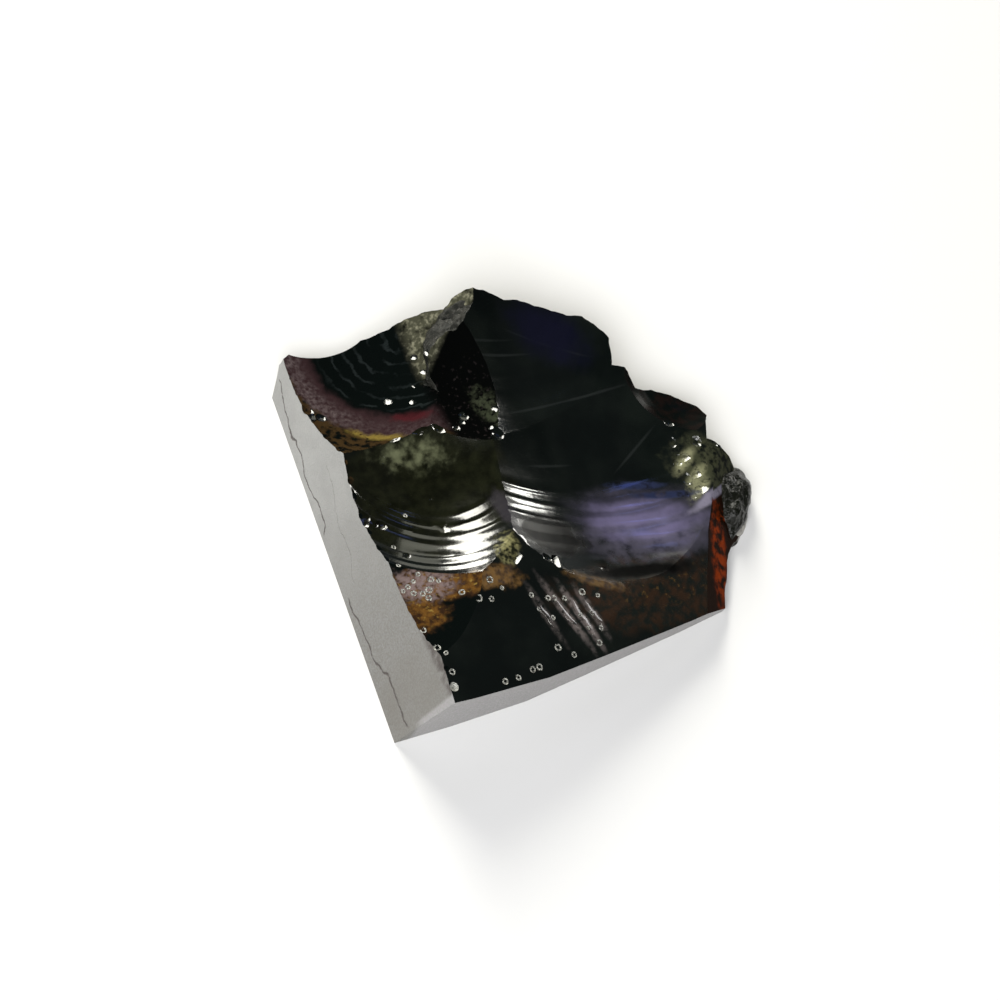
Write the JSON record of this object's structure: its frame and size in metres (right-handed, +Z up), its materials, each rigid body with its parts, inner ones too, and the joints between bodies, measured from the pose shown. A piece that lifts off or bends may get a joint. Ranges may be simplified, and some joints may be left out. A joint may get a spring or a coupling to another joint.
{
  "type": "raw shungite stone",
  "caption": "Raw black glassy shungite with shell-like flake scars and ripples, a grey crest and two pale sawn sides, lying on a flat sawn base.",
  "frame": {"origin": "middle of the plan's bounding box, on the flat sawn base that the stone lies on", "axes": "+Z up from the base; +X along the short sawn side, from the sawn corner to the broken end; +Y along the long sawn side, from the sawn corner to the back"},
  "size_m": [0.047, 0.043, 0.0106],
  "materials": {
    "stone": "glassy black on the flake scars, rough grey on the crest and lump, matt pale grey on the sawn sides"
  },
  "bodies": {
    "root": {"shungite_stone": "stone"}
  },
  "joints": []
}
